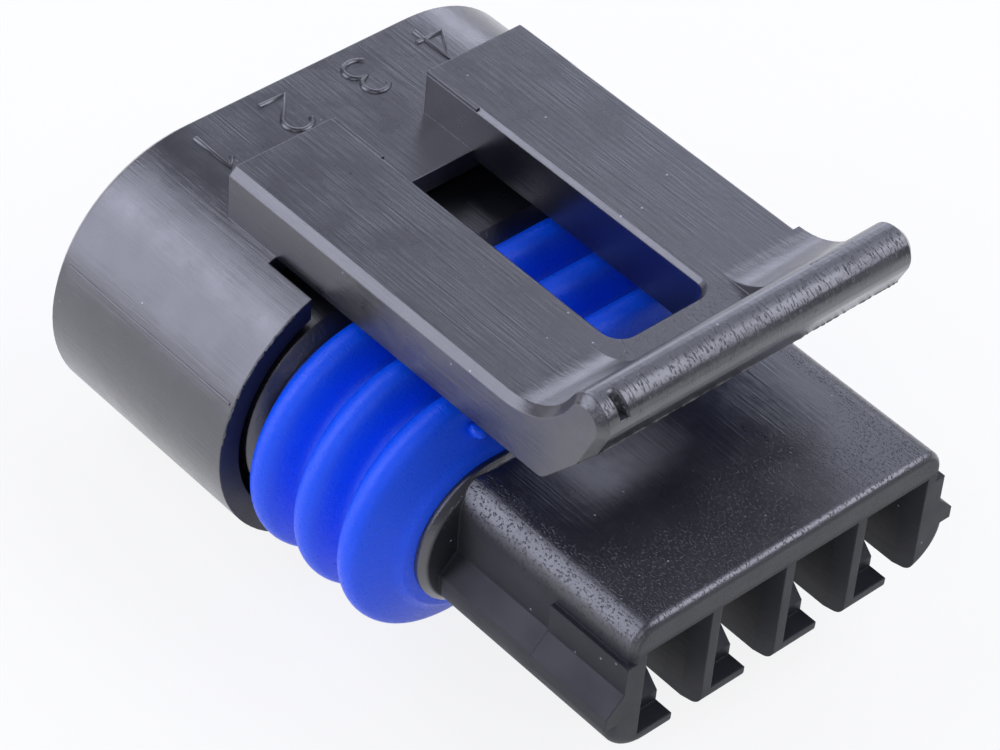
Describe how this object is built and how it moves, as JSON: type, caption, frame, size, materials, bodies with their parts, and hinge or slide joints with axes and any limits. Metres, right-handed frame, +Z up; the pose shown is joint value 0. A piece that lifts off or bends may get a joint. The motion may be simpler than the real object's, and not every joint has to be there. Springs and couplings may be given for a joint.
{
  "type": "sealed wire connector",
  "caption": "Sealed wire-harness connector housing with a lever latch, a ribbed oval collar seal, a nose of open terminal cavities and a mat seal at the wire side.",
  "frame": {"origin": "middle of the nose tip, on the axis of the oval collar seal", "axes": "+X along the row of cavities, +Y back towards the wires, +Z up to the latch"},
  "size_m": [0.0258, 0.0309, 0.0188],
  "materials": {
    "black_nylon": "moulded, spark-eroded grain on some faces",
    "blue_silicone": "moulded, satin"
  },
  "bodies": {
    "shell": {"housing": "black_nylon", "ring_seal": "blue_silicone", "cable_seal": "blue_silicone"},
    "latch": {"latch": "black_nylon"}
  },
  "joints": [
    {"name": "latch_lift", "type": "hinge", "parent": "shell", "child": "latch", "pos_m": [0, 0.0222, 0.0091], "axis": [-1, 0, 0], "range_deg": [0, 8], "stiffness_Nm_per_rad": 2}
  ]
}
